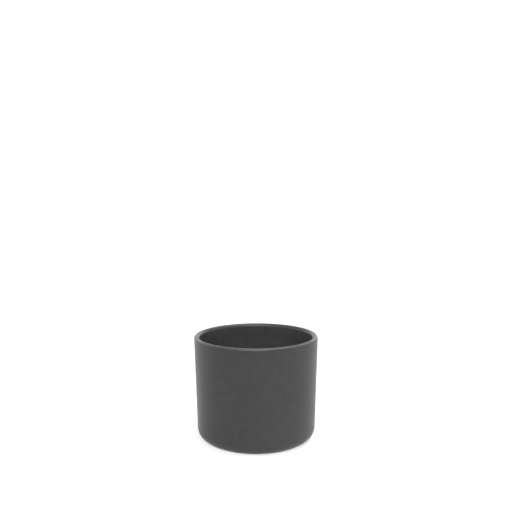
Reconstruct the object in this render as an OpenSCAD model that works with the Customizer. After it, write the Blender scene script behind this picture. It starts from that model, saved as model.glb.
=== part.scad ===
// Empty candle jar: a round stoneware vessel, a little narrower at the base, with a soft lip
// and a rounded lower corner. It is glazed inside, outside and underneath, and it stands on
// a foot ring of bare clay.
// Millimetres, +Z up. The origin is the centre of the foot ring, on the plane it stands on.
// Every piece is a solid of revolution about Z, drawn as a half section [radius, height].

/* [Outside] */
// Height from the table to the crest of the lip
height = 75; // [60:1:110]
// Widest outside diameter, just below the lip
rim_d = 90; // [75:1:120]
// Lean of the outside wall from vertical, in degrees
outer_lean = 1.75; // [0.5:0.25:3]
// Radius of the curve from the wall to the underside
base_round = 8; // [7:0.5:12]

/* [Lip] */
// Distance in from the widest point to the crest of the lip
shoulder_w = 1.7; // [1.7:0.1:2.5]
// Drop from the crest of the lip to the widest point
shoulder_h = 1.6; // [1.3:0.1:1.6]
// Radius of the tight curve on the outer side of the shoulder
shoulder_round = 1.2; // [0.8:0.1:1.2]
// Radius of the curve from the crest down into the mouth
mouth_round = 2.3; // [1:0.1:2.5]

/* [Inside] */
// Depth of the straight seat for a lid plug, below the curve of the mouth
seat_h = 10; // [5:1:20]
// Lean of the inside wall from vertical, in degrees
inner_lean = 2.5; // [1:0.25:3.5]
// Radius of the curve from the inside wall to the floor
cavity_round = 6; // [4:0.5:9]
// Height of the inside floor above the table
floor_z = 6; // [5:0.5:9]

/* [Foot] */
// Width of the ring that touches the table
foot_w = 3.4; // [2:0.2:6]
// How far that ring reaches out under the curve of the base
foot_reach = 1; // [0.5:0.1:1.2]
// Size of the slope on both edges of the ring
foot_slope = 0.5; // [0.3:0.1:0.5]
// Height of the hollow inside the ring
recess_h = 1.5; // [1:0.1:2]

/* [Glaze] */
// Thickness of the fired glaze
glaze_t = 0.35; // [0.2:0.05:0.5]
// How far round the curve of the base the outside glaze is carried, in degrees
glaze_wrap = 72; // [60:1:75]

/* [Hidden] */
$fn = 128;

// Extra radius that carries a curve just past the straight wall it runs into
meet = 0.0002;

// The lip: a tight curve outside, a wider one over the shoulder up to the crest, and a round
// one down into the mouth. The wider curve's radius makes it tangent to the tight one.
crest_r = rim_d / 2 - shoulder_w;
crest_round = (pow(shoulder_w, 2) - 2 * shoulder_w * shoulder_round + pow(shoulder_h, 2))
    / (2 * (shoulder_h - shoulder_round));
shoulder_c = [rim_d / 2 - shoulder_round, height - shoulder_h];
crest_c = [crest_r, height - crest_round];
mouth_c = [crest_r, height - mouth_round];
crest_angle = atan2(shoulder_c.y - crest_c.y, shoulder_c.x - crest_c.x);

// The outside wall, tangent to the shoulder above and to the curve of the base below
wall_top = shoulder_c + shoulder_round * toward(-outer_lean);
base_r = wall_top.x - (wall_top.y - base_round) * tan(outer_lean);
base_c = [base_r - base_round / cos(outer_lean), base_round];

// The inside: the straight seat, the leaning wall below it, and the curve to the floor
seat_r = crest_r - mouth_round;
seat_z = mouth_c.y - seat_h;
cavity_z = floor_z + cavity_round;
cavity_r = seat_r - (seat_z - cavity_z) * tan(inner_lean);
cavity_c = [cavity_r - cavity_round / cos(inner_lean), cavity_z];

// The foot ring, and the hollow inside it
foot_r = base_c.x + foot_reach;
recess_r = foot_r - foot_w;

// Line through the middle of the clay, which parts the outside coat from the inside one
floor_middle = (floor_z + recess_h) / 2;
half_floor = (floor_z - recess_h) / 2;
clay_middle = [
    [crest_r, 2 * height],
    [crest_r, seat_z],
    [(base_r + cavity_r) / 2, cavity_z],
    cavity_c + (cavity_round + half_floor) * toward(-45),
    [cavity_c.x, floor_middle],
    [0, floor_middle]
];

// Unit vector at an angle from the radial direction, positive upwards
function toward(angle) = [cos(angle), sin(angle)];

// Disc in the half section
module disc(centre, radius) {
    translate(centre) circle(radius);
}

// Filled outside shape of the vessel, drawn in by inset
module outer_form(inset) {
    polygon([
        [0, inset],
        [base_c.x, inset],
        base_c,
        base_c + (base_round - inset) * toward(-outer_lean),
        shoulder_c + (shoulder_round - inset) * toward(-outer_lean),
        shoulder_c,
        mouth_c + [0, (mouth_round - inset) / 2],
        mouth_c - [(mouth_round - inset) / 2, 0],
        [0, mouth_c.y]
    ]);
    disc(base_c, base_round - inset + meet);
    disc(shoulder_c, shoulder_round - inset);
    intersection() {
        disc(mouth_c, mouth_round - inset);
        polygon([[crest_r, 2 * height], [0, 2 * height], [0, 0], [crest_r, 0]]);
    }
    intersection() {
        disc(crest_c, crest_round - inset);
        polygon([
            [crest_r, 2 * height],
            [crest_r, min(crest_c.y, mouth_c.y)],
            shoulder_c,
            crest_c + 2 * crest_round * toward(crest_angle)
        ]);
    }
}

// Filled shape of the cavity up to the curve of the mouth, grown by outset
module cavity_form(outset) {
    polygon([
        [0, floor_z - outset],
        [cavity_c.x, floor_z - outset],
        cavity_c,
        cavity_c + (cavity_round + outset) * toward(-inner_lean),
        [seat_r + outset, seat_z - outset * tan(inner_lean / 2)],
        [seat_r + outset, mouth_c.y],
        [0, mouth_c.y]
    ]);
    disc(cavity_c, cavity_round + outset + meet);
}

// Wall and floor, with every face drawn in by inset
module vessel_section(inset) {
    difference() {
        outer_form(inset);
        cavity_form(inset);
    }
}

// Skin of glaze all round the section
module coat_section() {
    difference() {
        vessel_section(0);
        vessel_section(glaze_t);
    }
}

// Everything between the axis and the middle of the clay
module inside_zone() {
    polygon(concat([[0, 2 * height]], clay_middle));
}

// Everything beyond the line on the curve of the base where the outside glaze stops
module bare_zone() {
    polygon([
        [0, base_c.y],
        base_c,
        base_c + 2 * base_round * toward(-glaze_wrap),
        [0, -2 * base_round]
    ]);
}

// Foot ring, reaching up into the clay
module foot_section() {
    polygon([
        [recess_r, 0],
        [foot_r, 0],
        [foot_r + foot_slope, foot_slope],
        [foot_r + foot_slope, floor_middle],
        [recess_r, floor_middle]
    ]);
}

// Hollow inside the foot ring
module recess_section() {
    polygon([
        [0, 0],
        [recess_r + foot_slope, 0],
        [recess_r, foot_slope],
        [recess_r, recess_h],
        [0, recess_h]
    ]);
}

// Fired clay: wall, floor and foot ring in one piece
module stoneware_body() {
    color("#b9ad9b")
        rotate_extrude()
            difference() {
                union() {
                    vessel_section(glaze_t);
                    foot_section();
                }
                recess_section();
            }
}

// Outside coat, from the crest of the lip down to the bare foot
module outer_glaze() {
    color("#4e4d4e")
        rotate_extrude()
            difference() {
                coat_section();
                inside_zone();
                bare_zone();
            }
}

// Inside coat, from the crest of the lip over the wall and the floor
module liner_glaze() {
    color("#3b3a3b")
        rotate_extrude()
            intersection() {
                coat_section();
                inside_zone();
            }
}

// Coat on the hollow inside the foot ring, stopping just short of the ring
module underside_glaze() {
    color("#474647")
        translate([0, 0, recess_h - glaze_t])
            cylinder(h = glaze_t, r = recess_r - glaze_t);
}

stoneware_body();
outer_glaze();
liner_glaze();
underside_glaze();
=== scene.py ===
"""Empty candle jar: looks of a matte dark-grey glazed stoneware vessel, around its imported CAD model.

Metres, +Z up, with the jar's axis on Z and its foot ring on z = 0. Each CAD node is replaced by a
finer lathed mesh of the same section, with the slight unevenness of a fired pot and the rolled
edge of a real glaze line. A section is a list of (radius, height) points.
"""

import math

import bmesh
import bpy
from mathutils import Euler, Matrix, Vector, noise


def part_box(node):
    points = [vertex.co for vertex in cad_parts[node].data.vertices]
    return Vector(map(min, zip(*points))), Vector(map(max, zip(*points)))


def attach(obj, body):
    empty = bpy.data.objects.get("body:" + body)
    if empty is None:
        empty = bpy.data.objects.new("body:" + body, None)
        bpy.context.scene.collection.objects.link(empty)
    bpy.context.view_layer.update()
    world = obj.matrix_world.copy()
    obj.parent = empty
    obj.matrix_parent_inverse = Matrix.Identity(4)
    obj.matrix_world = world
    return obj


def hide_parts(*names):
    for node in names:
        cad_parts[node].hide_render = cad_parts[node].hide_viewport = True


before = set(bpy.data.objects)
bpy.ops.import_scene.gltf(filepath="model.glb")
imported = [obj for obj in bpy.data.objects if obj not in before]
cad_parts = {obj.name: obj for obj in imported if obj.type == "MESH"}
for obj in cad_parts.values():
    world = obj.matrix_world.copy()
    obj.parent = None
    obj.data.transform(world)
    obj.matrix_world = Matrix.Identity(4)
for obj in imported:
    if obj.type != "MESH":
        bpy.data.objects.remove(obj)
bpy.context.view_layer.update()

MM = 0.001
AROUND = 288  # segments round the axis, which keep each piece under 200,000 triangles
CREASE = 35  # edges sharper than this, in degrees, are shaded as edges
ON_AXIS = 1e-7  # a point nearer the axis than this lies on it

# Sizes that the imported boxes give
GLAZE_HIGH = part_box("outer_glaze")[1]
LINER_LOW, LINER_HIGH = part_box("liner_glaze")
UNDER_LOW, UNDER_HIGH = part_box("underside_glaze")
HEIGHT = GLAZE_HIGH.z
RIM_R = GLAZE_HIGH.x
CREST_R = LINER_HIGH.x
GLAZE_T = UNDER_HIGH.z - UNDER_LOW.z
FLOOR_Z = LINER_LOW.z + GLAZE_T
RECESS_H = UNDER_HIGH.z
RECESS_R = UNDER_HIGH.x + GLAZE_T

# Sizes of the section that no box shows, as in the CAD model; angles in degrees
OUTER_LEAN = 1.75
INNER_LEAN = 2.5
BASE_ROUND = 8 * MM
SHOULDER_H = 1.6 * MM
SHOULDER_ROUND = 1.2 * MM
MOUTH_ROUND = 2.3 * MM
SEAT_H = 10 * MM
CAVITY_ROUND = 6 * MM
FOOT_W = 3.4 * MM
FOOT_EDGE = 0.5 * MM
GLAZE_WRAP = 72

# Marks of making and firing
GLAZE_ROLL = 0.1 * MM  # how much thicker the glaze is at its bare edge
ROLL_FADE = 6.0  # how fast that fades round the base curve, in degrees
UNDERSIDE_GAP = 0.6 * MM  # how far the underside coat stops short of its CAD edge
FOOT_ROUND = 0.35 * MM  # rounding of the foot ring's edges
FOOT_ROUND_SHIFT = FOOT_ROUND * 0.41  # near tan 22.5, so that the round meets flat and slope
CREST_PLAIN = 2  # points at the crest that stay true, so that the two coats meet there
BARE_POINTS = 6  # points at the end of the clay's base curve that the glaze leaves bare

# Unevenness of the faces: pairs of height and waves per metre
GLAZE_WAVES = ((0.012 * MM, 160), (0.006 * MM, 420))
CLAY_GRIT = ((0.03 * MM, 900), (0.02 * MM, 2300))


def toward(angle):
    """Unit vector in the section, at an angle in degrees above the radial direction."""
    return Vector((math.cos(math.radians(angle)), math.sin(math.radians(angle))))


def arc(centre, radius, start, end, parts):
    """Points of an arc, with one more close to each end so that its end normals are true."""
    close = 0.2 / parts
    shares = [0, close] + [i / parts for i in range(1, parts)] + [1 - close, 1]
    return [centre + radius * toward(start + (end - start) * share) for share in shares]


def line(start, end, parts):
    """Points strictly between two points."""
    return [start.lerp(end, i / parts) for i in range(1, parts)]


def bead(centre, radius, start):
    """Points of a coat's rolled end, over the half turn from one of its faces to the other."""
    return [centre + radius * toward(start - turn) for turn in range(20, 180, 20)]


# ---------------------------------------------------------------- section

# The lip: a tight curve outside, a wider one over the shoulder up to the crest, and a round one
# down into the mouth
shoulder_w = RIM_R - CREST_R
shoulder_c = Vector((RIM_R - SHOULDER_ROUND, HEIGHT - SHOULDER_H))
crest_round = (shoulder_w**2 - 2 * shoulder_w * SHOULDER_ROUND + SHOULDER_H**2) / (
    2 * (SHOULDER_H - SHOULDER_ROUND)
)
crest_c = Vector((CREST_R, HEIGHT - crest_round))
mouth_c = Vector((CREST_R, HEIGHT - MOUTH_ROUND))
crest_angle = math.degrees(math.atan2(shoulder_c.y - crest_c.y, shoulder_c.x - crest_c.x))

# The outside wall and the curve of the base
outer_lean = math.radians(OUTER_LEAN)
wall_top = shoulder_c + SHOULDER_ROUND * toward(-OUTER_LEAN)
base_r = wall_top.x - (wall_top.y - BASE_ROUND) * math.tan(outer_lean)
base_c = Vector((base_r - BASE_ROUND / math.cos(outer_lean), BASE_ROUND))

# The straight seat in the mouth, the leaning wall below it and the curve to the floor
inner_lean = math.radians(INNER_LEAN)
seat_r = CREST_R - MOUTH_ROUND
seat_z = mouth_c.y - SEAT_H
cavity_z = FLOOR_Z + CAVITY_ROUND
cavity_r = seat_r - (seat_z - cavity_z) * math.tan(inner_lean)
cavity_c = Vector((cavity_r - CAVITY_ROUND / math.cos(inner_lean), cavity_z))
foot_r = RECESS_R + FOOT_W


def outside(inset, wrap):
    """The outside face from the crest of the lip down the wall and round the base curve."""
    crest = arc(crest_c, crest_round - inset, 90, crest_angle, parts=14)
    shoulder = arc(shoulder_c, SHOULDER_ROUND - inset, crest_angle, -OUTER_LEAN, parts=14)
    base = arc(base_c, BASE_ROUND - inset, -OUTER_LEAN, -wrap, parts=24)
    return crest[:-1] + shoulder + line(shoulder[-1], base[0], parts=80) + base


def inside(outset):
    """The inside face from the axis over the floor and up the wall to the crest of the lip."""
    centre = Vector((0, FLOOR_Z - outset))
    corner = arc(cavity_c, CAVITY_ROUND + outset, -90, -INNER_LEAN, parts=22)
    seat_low = Vector((seat_r + outset, seat_z))
    mouth = arc(mouth_c, MOUTH_ROUND - outset, 180, 90, parts=12)
    return (
        [centre]
        + line(centre, corner[0], parts=24)
        + corner
        + line(corner[-1], seat_low, parts=65)
        + [seat_low]
        + line(seat_low, mouth[0], parts=12)
        + mouth
    )


# How many points the two shown faces have, and the clay's last point on its base curve
outer_shown = len(outside(0, GLAZE_WRAP))
liner_shown = len(inside(0))
base_end_point = liner_shown + outer_shown - 2


# ---------------------------------------------------------------- lathe

def pot_warp(angle, z):
    """Radial drift of the whole pot from firing: a trace of ovality that grows to the free lip."""
    lobes = 0.05 * math.cos(2 * angle + 0.6) + 0.02 * math.cos(3 * angle - 1.1)
    return lobes * z / HEIGHT * MM


def object_from(name, bm):
    """Turns a finished bmesh into an object in the scene."""
    mesh = bpy.data.meshes.new(name)
    bm.to_mesh(mesh)
    bm.free()
    made = bpy.data.objects.new(name, mesh)
    bpy.context.scene.collection.objects.link(made)
    return made


def lathe(name, section, relief, closed):
    """Turns a section into a mesh. section(angle) gives the same number of points at every angle,
    with the solid on their right, either closed on themselves or from the axis to the axis.
    relief(i, place) is how far point i stands out from the plain face at a place."""
    bm = bmesh.new()
    columns = []
    for k in range(AROUND):
        angle = 2 * math.pi * k / AROUND
        points = section(angle)
        column = []
        for i, point in enumerate(points):
            if point.x < ON_AXIS:
                column.append(bm.verts.new((0, 0, point.y)) if k == 0 else columns[0][i])
                continue
            radius = point.x + pot_warp(angle, point.y)
            place = Vector((radius * math.cos(angle), radius * math.sin(angle), point.y))
            along = points[(i + 1) % len(points)] - points[i - 1]
            out = Vector((-along.y, along.x)).normalized() * relief(i, place)
            place += Vector((out.x * math.cos(angle), out.x * math.sin(angle), out.y))
            column.append(bm.verts.new(place))
        columns.append(column)
    steps = len(columns[0]) if closed else len(columns[0]) - 1
    for k, here in enumerate(columns):
        there = columns[(k + 1) % AROUND]
        for i in range(steps):
            j = (i + 1) % len(here)
            corners = []
            for vert in (here[i], here[j], there[j], there[i]):
                if vert not in corners:
                    corners.append(vert)
            if len(corners) > 2:
                bm.faces.new(corners)
    bmesh.ops.recalc_face_normals(bm, faces=bm.faces)
    for face in bm.faces:
        face.smooth = True
    for edge in bm.edges:
        edge.smooth = edge.calc_face_angle(0) < math.radians(CREASE)
    return object_from(name, bm)


# ---------------------------------------------------------------- sections of the pieces

def outer_wrap(angle):
    """Where the outside glaze stops, in degrees round the base curve: a line that wanders a little."""
    return GLAZE_WRAP + 0.9 * math.cos(3 * angle + 0.4) + 0.5 * math.cos(7 * angle + 2.0)


def outer_coat(angle):
    """The outside glaze, thicker towards its rounded end on the base curve."""
    wrap = outer_wrap(angle)
    face = outside(0, wrap)
    end = face[-1] - base_c
    for point in face:
        arm = point - base_c
        if arm.y < 0 and arm.x > 0:
            lag = math.degrees(arm.angle(end)) / ROLL_FADE
            point += arm.normalized() * GLAZE_ROLL * math.exp(-lag * lag)
    bead_r = (GLAZE_T + GLAZE_ROLL) / 2
    bead_c = base_c + (BASE_ROUND - GLAZE_T + bead_r) * toward(-wrap)
    return face + bead(bead_c, bead_r, -wrap) + outside(GLAZE_T, wrap)[::-1]


def liner_coat(angle):
    """The inside glaze, from the crest of the lip to the axis."""
    return inside(0) + inside(GLAZE_T)[::-1]


def clay(angle):
    """The fired body under the glaze, with its bare foot ring."""
    base_end = math.degrees(math.acos((foot_r + FOOT_EDGE - base_c.x) / (BASE_ROUND - GLAZE_T)))
    outer = outside(GLAZE_T, base_end)
    foot_out = Vector((foot_r, 0)) + Vector((-FOOT_ROUND_SHIFT, FOOT_ROUND))
    foot_in = Vector((RECESS_R + FOOT_EDGE, 0)) + Vector((FOOT_ROUND_SHIFT, FOOT_ROUND))
    recess_low = Vector((RECESS_R, FOOT_EDGE))
    recess_top = Vector((RECESS_R, RECESS_H))
    centre = Vector((0, RECESS_H))
    out_arc = arc(foot_out, FOOT_ROUND, -45, -90, parts=4)
    in_arc = arc(foot_in, FOOT_ROUND, -90, -135, parts=4)
    return (
        inside(GLAZE_T)
        + outer[1:]
        + line(outer[-1], out_arc[0], parts=4)
        + out_arc
        + line(out_arc[-1], in_arc[0], parts=8)
        + in_arc
        + line(in_arc[-1], recess_low, parts=4)
        + [recess_low]
        + line(recess_low, recess_top, parts=5)
        + [recess_top]
        + line(recess_top, centre, parts=24)
        + [centre]
    )


def underside_coat(angle):
    """The disc of glaze in the hollow of the foot, with a rounded edge that wanders a little."""
    bead_r = GLAZE_T / 2
    wander = 0.25 * math.cos(4 * angle + 1.0) + 0.15 * math.cos(9 * angle)
    edge = UNDER_HIGH.x - UNDERSIDE_GAP + wander * MM
    top = Vector((edge, RECESS_H))
    low = Vector((edge, RECESS_H - GLAZE_T))
    bead_c = Vector((edge, RECESS_H - bead_r))
    centre_top = Vector((0, RECESS_H))
    centre_low = Vector((0, RECESS_H - GLAZE_T))
    return (
        [centre_top]
        + line(centre_top, top, parts=24)
        + [top]
        + bead(bead_c, bead_r, 90)
        + [low]
        + line(low, centre_low, parts=24)
        + [centre_low]
    )


# ---------------------------------------------------------------- relief of the pieces

def unevenness(place, waves):
    """How far a face stands out at a place, in metres, as a sum of waves of noise."""
    return sum(height * noise.noise(place * rate) for height, rate in waves)


def outer_relief(i, place):
    """The glaze's waves on the shown face alone."""
    return unevenness(place, GLAZE_WAVES) if CREST_PLAIN <= i < outer_shown else 0


def liner_relief(i, place):
    """The glaze's waves on the shown face alone."""
    return unevenness(place, GLAZE_WAVES) if i < liner_shown - CREST_PLAIN else 0


def clay_relief(i, place):
    """Grit on the bare end of the base curve and on the foot."""
    return unevenness(place, CLAY_GRIT) if i > base_end_point - BARE_POINTS else 0


def underside_relief(i, place):
    """The glaze's waves all over the disc."""
    return -unevenness(place, GLAZE_WAVES)


# ---------------------------------------------------------------- materials

class Recipe:
    """A material's node tree, with short calls for the nodes it is made of."""

    def __init__(self, name):
        self.material = bpy.data.materials.new(name)
        self.material.use_nodes = True
        self.tree = self.material.node_tree
        self.shader = self.tree.nodes["Principled BSDF"]
        self.place = self.node("ShaderNodeTexCoord").outputs["Object"]

    def node(self, kind, **settings):
        made = self.tree.nodes.new(kind)
        for key, value in settings.items():
            setattr(made, key, value)
        return made

    def feed(self, socket, value):
        """Links an output to a socket, or sets the socket to a number or colour."""
        if isinstance(value, bpy.types.NodeSocket):
            self.tree.links.new(value, socket)
        else:
            socket.default_value = value

    def shade(self, **values):
        """Feeds the shader's own sockets; a name's underscores stand for spaces."""
        for key, value in values.items():
            self.feed(self.shader.inputs[key.replace("_", " ")], value)

    def noise(self, size, detail=3.0, roughness=0.5):
        """Noise whose features are about size metres across, from 0 to 1."""
        made = self.node("ShaderNodeTexNoise")
        self.feed(made.inputs["Vector"], self.place)
        self.feed(made.inputs["Scale"], 1 / size)
        self.feed(made.inputs["Detail"], detail)
        self.feed(made.inputs["Roughness"], roughness)
        return made.outputs["Fac"]

    def span(self, value, low, high, to_low=0.0, to_high=1.0):
        """Maps low..high smoothly to to_low..to_high, and holds the ends."""
        made = self.node("ShaderNodeMapRange", interpolation_type="SMOOTHSTEP")
        self.feed(made.inputs["Value"], value)
        self.feed(made.inputs["From Min"], low)
        self.feed(made.inputs["From Max"], high)
        self.feed(made.inputs["To Min"], to_low)
        self.feed(made.inputs["To Max"], to_high)
        return made.outputs["Result"]

    def math(self, operation, *values):
        made = self.node("ShaderNodeMath", operation=operation)
        for socket, value in zip(made.inputs, values):
            self.feed(socket, value)
        return made.outputs["Value"]

    def mix(self, share, first, second):
        """Mixes two colours by share."""
        made = self.node("ShaderNodeMix", data_type="RGBA")
        self.feed(made.inputs["Factor"], share)
        self.feed(made.inputs["A"], first)
        self.feed(made.inputs["B"], second)
        return made.outputs["Result"]

    def bump(self, height, distance, under=None):
        made = self.node("ShaderNodeBump")
        self.feed(made.inputs["Height"], height)
        self.feed(made.inputs["Distance"], distance)
        self.feed(made.inputs["Strength"], 1.0)
        if under:
            self.feed(made.inputs["Normal"], under)
        return made.outputs["Normal"]

    def side_radius_height(self):
        """Place along X, distance from the jar's axis, and height above the table."""
        parts = self.node("ShaderNodeSeparateXYZ")
        self.feed(parts.inputs["Vector"], self.place)
        x, y, z = parts.outputs
        squares = self.math("ADD", self.math("MULTIPLY", x, x), self.math("MULTIPLY", y, y))
        return x, self.math("SQRT", squares), z


def colour(red, green, blue):
    return (red, green, blue, 1.0)


# Colours are linear. The tints multiply a glaze's tone.
GLAZE_TONE = 0.0255
# The inside coat gets a lighter tone than the outside coat: painted light inside the jar.
LINER_PAINTED_LIGHT_TONE = 0.036
# These two tints make a glaze darker and warmer toward −X and lighter and cooler toward +X: painted
# light and shade, as if lit from the right.
SHADED_SIDE_TINT = (0.95, 0.90, 0.87)
LIT_SIDE_TINT = (1.12, 1.09, 1.18)
CLOUD_GREY = colour(0.11, 0.108, 0.11)
FLECK_GREY = colour(0.16, 0.155, 0.15)
PIT_BLACK = colour(0.012, 0.012, 0.012)
# The lighter grey along the lip: part glaze that thins over the edge, part painted highlight.
THIN_GLAZE_AND_HIGHLIGHT_GREY = colour(0.14, 0.135, 0.13)
GLAZE_IOR = 1.38
BUFF_DARK = colour(0.36, 0.30, 0.225)
BUFF_LIGHT = colour(0.46, 0.39, 0.30)
SAND_PALE = colour(0.56, 0.49, 0.39)
IRON_BROWN = colour(0.07, 0.045, 0.03)
WHITE = colour(1.0, 1.0, 1.0)


def glaze(name, tone):
    """Matte dark-grey glaze: painted light and shade from the right, darker and warmer toward −X and
    lighter and cooler toward +X; clouding, fine flecks and pits; a lighter line over the lip, part
    glaze that thins over the edge and part painted highlight; and a silky surface with a fine tooth."""
    r = Recipe(name)
    side, radius, height = r.side_radius_height()
    warm = colour(*(tone * share for share in SHADED_SIDE_TINT))
    cool = colour(*(tone * share for share in LIT_SIDE_TINT))
    # Painted light and shade: darker and warmer toward −X, lighter and cooler toward +X, along a line
    # that wanders with noise.
    wander = r.math("MULTIPLY_ADD", r.noise(30 * MM, detail=1.0), 40 * MM, -20 * MM)
    drift = r.mix(r.span(r.math("ADD", side, wander), -26 * MM, 30 * MM), warm, cool)

    cloud = r.span(r.noise(6 * MM, detail=5.0, roughness=0.6), 0.3, 0.7)
    clouded = r.mix(r.math("MULTIPLY", cloud, 0.06), drift, CLOUD_GREY)
    fleck = r.span(r.noise(0.7 * MM, detail=2.0), 0.66, 0.74, 0.0, 0.22)
    flecked = r.mix(fleck, clouded, FLECK_GREY)
    pit = r.span(r.noise(0.45 * MM, detail=1.0), 0.27, 0.33, 0.35, 0.0)
    pitted = r.mix(pit, flecked, PIT_BLACK)

    # A lighter band in patches along the crest of the lip: part glaze that thins over the edge, part
    # painted highlight.
    off_crest = r.math("ABSOLUTE", r.math("SUBTRACT", radius, CREST_R))
    near_crest = r.span(off_crest, 0.8 * MM, 1.9 * MM, 1.0, 0.0)
    high = r.span(height, HEIGHT - 1.5 * MM, HEIGHT - 0.7 * MM)
    lip = r.math("MULTIPLY", near_crest, high)
    patchy = r.span(r.noise(3 * MM, detail=4.0), 0.3, 0.7, 0.3, 0.6)
    thin_glaze_and_highlight = r.math("MULTIPLY", lip, patchy)

    tooth = r.bump(r.noise(0.35 * MM, detail=3.0), 0.006 * MM)
    r.shade(
        Base_Color=r.mix(thin_glaze_and_highlight, pitted, THIN_GLAZE_AND_HIGHLIGHT_GREY),
        Roughness=r.span(cloud, 0.0, 1.0, 0.37, 0.43),
        IOR=GLAZE_IOR,
        Normal=r.bump(r.noise(2.2 * MM, detail=2.0), 0.01 * MM, tooth),
    )
    return r.material


def stoneware(name):
    """Bare fired clay: warm buff with darker iron specks and a sandy grain."""
    r = Recipe(name)
    cloud = r.span(r.noise(8 * MM, detail=5.0, roughness=0.6), 0.3, 0.7)
    body = r.mix(cloud, BUFF_DARK, BUFF_LIGHT)
    grain = r.span(r.noise(0.5 * MM, detail=4.0, roughness=0.7), 0.35, 0.65)
    grained = r.mix(r.math("MULTIPLY", grain, 0.25), body, SAND_PALE)
    speck = r.span(r.noise(0.9 * MM, detail=1.0), 0.67, 0.73, 0.0, 0.8)
    coarse = r.bump(r.noise(0.8 * MM, detail=4.0, roughness=0.7), 0.05 * MM)
    r.shade(
        Base_Color=r.mix(speck, grained, IRON_BROWN),
        Roughness=r.span(grain, 0.0, 1.0, 0.82, 0.95),
        Normal=r.bump(grain, 0.02 * MM, coarse),
    )
    return r.material


# ---------------------------------------------------------------- the jar

def stand_for(piece, node, material):
    """Gives a piece its material, hides the CAD node it stands for and lets it ride with the jar."""
    piece.data.materials.append(material)
    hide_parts(node)
    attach(piece, "root")


stand_for(
    lathe("jar_outer_coat", outer_coat, outer_relief, closed=True),
    "outer_glaze", glaze("outer_glaze_look", GLAZE_TONE),
)
stand_for(
    lathe("jar_liner_coat", liner_coat, liner_relief, closed=True),
    "liner_glaze", glaze("liner_glaze_look", LINER_PAINTED_LIGHT_TONE),
)
stand_for(
    lathe("jar_clay_body", clay, clay_relief, closed=False),
    "stoneware_body", stoneware("bare_stoneware_look"),
)
stand_for(
    lathe("jar_underside_coat", underside_coat, underside_relief, closed=False),
    "underside_glaze", glaze("underside_glaze_look", GLAZE_TONE),
)

# ---------------------------------------------------------------- studio

TABLE_HALF = 4.0
TABLE_DROP = 0.01 * MM  # keeps the table's face off the foot ring's
TABLE_GREY = colour(0.4, 0.4, 0.4)
TABLE_GLOW = 0.60  # the table is an evenly lit white one, which leaves only a faint shadow

PLAIN = (1.0, 1.0, 1.0)
WARM = (1.0, 0.975, 0.945)
COOL = (0.97, 0.975, 1.0)
SOFT_LIGHTS = [  # name, azimuth, elevation, spread, strength, tint
    ("right_front_low", 45, 15, 28, 0.195, COOL),
    ("right_low", 75, 15, 28, 0.60, COOL),
    ("right_back_low_a", 105, 15, 28, 0.33, COOL),
    ("right_back_low_b", 135, 15, 28, 0.36, COOL),
    ("right_back_low_c", 160, 15, 28, 0.41, PLAIN),
    ("back_low", 180, 15, 28, 0.17, PLAIN),
    ("left_back_low_c", -160, 15, 28, 0.34, PLAIN),
    ("left_back_low_b", -135, 15, 28, 0.43, WARM),
    ("left_back_low_a", -105, 15, 28, 0.54, WARM),
    ("left_low", -75, 15, 28, 0.194, WARM),
    ("left_front_low", -45, 15, 28, 0.335, WARM),
    ("front_low", 15, 25, 16, 0.391, PLAIN),
    ("front", 0, 42, 34, 2.070, PLAIN),
    ("front_left", -15, 42, 30, 0.568, PLAIN),
    ("left_front", -35, 42, 34, 0.455, WARM),
    ("right_back", 110, 42, 34, 0.121, COOL),
    ("right_high", 90, 68, 26, 1.390, COOL),
    ("right_back_high", 135, 68, 26, 0.293, COOL),
    ("top", 0, 90, 26, 0.221, PLAIN),
]


def table():
    """The plain white floor that the jar stands on."""
    bm = bmesh.new()
    corners = [(-1, -1), (1, -1), (1, 1), (-1, 1)]
    bm.faces.new([bm.verts.new((x * TABLE_HALF, y * TABLE_HALF, -TABLE_DROP)) for x, y in corners])
    floor = object_from("studio_floor", bm)
    r = Recipe("studio_floor_look")
    r.shade(Base_Color=TABLE_GREY, Emission_Color=WHITE, Emission_Strength=TABLE_GLOW, Roughness=0.9)
    floor.data.materials.append(r.material)


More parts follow.
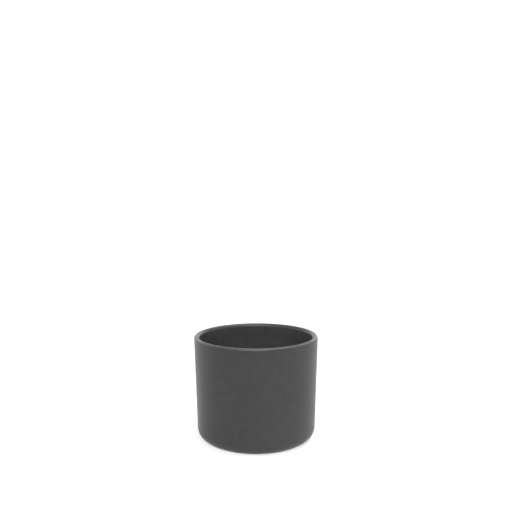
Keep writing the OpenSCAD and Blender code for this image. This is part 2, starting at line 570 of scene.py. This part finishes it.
def soft_light(name, azimuth, elevation, spread, strength, tint):
    """A large, distant soft light. Its azimuth runs from the camera's side toward +X, in degrees,
    and spread is how wide it looks from the jar."""
    a, e = math.radians(azimuth), math.radians(elevation)
    away = Vector((math.sin(a) * math.cos(e), -math.cos(a) * math.cos(e), math.sin(e)))
    lamp = bpy.data.lights.new(name, "SUN")
    lamp.angle = math.radians(spread)
    lamp.energy = strength
    lamp.color = tint
    light = bpy.data.objects.new(name, lamp)
    light.rotation_mode = "QUATERNION"
    light.rotation_quaternion = (-away).to_track_quat("-Z", "Y")
    bpy.context.scene.collection.objects.link(light)


def white_beyond():
    """White where the camera looks past the table. It gives no light."""
    world = bpy.data.worlds.new("studio_white")
    bpy.context.scene.world = world
    world.use_nodes = True
    background = world.node_tree.nodes["Background"]
    background.inputs["Color"].default_value = WHITE
    ray = world.node_tree.nodes.new("ShaderNodeLightPath")
    world.node_tree.links.new(ray.outputs["Is Camera Ray"], background.inputs["Strength"])


table()
for soft in SOFT_LIGHTS:
    soft_light(*soft)
white_beyond()

# The plain view transform keeps the white table white
bpy.context.scene.view_settings.view_transform = "Standard"
bpy.context.scene.view_settings.look = "None"

# ---------------------------------------------------------------- camera

CAMERA_BACK = 0.4603
CAMERA_UP = 0.1742
CAMERA_SIDE = 0.25 * MM
CAMERA_PITCH = 5.15  # degrees below the horizon
CAMERA_ROLL = -0.195
CAMERA_LENS = 45
CAMERA_SENSOR = 36

camera = bpy.data.objects.new("camera", bpy.data.cameras.new("camera"))
bpy.context.scene.collection.objects.link(camera)
camera.data.sensor_width = CAMERA_SENSOR
camera.data.lens = CAMERA_LENS
camera.data.clip_start = 10 * MM
camera.location = (CAMERA_SIDE, -CAMERA_BACK, CAMERA_UP)
camera.rotation_mode = "QUATERNION"
pitch = Euler((math.radians(90 - CAMERA_PITCH), 0, 0)).to_quaternion()
roll = Euler((0, 0, math.radians(CAMERA_ROLL))).to_quaternion()
camera.rotation_quaternion = pitch @ roll
bpy.context.scene.camera = camera
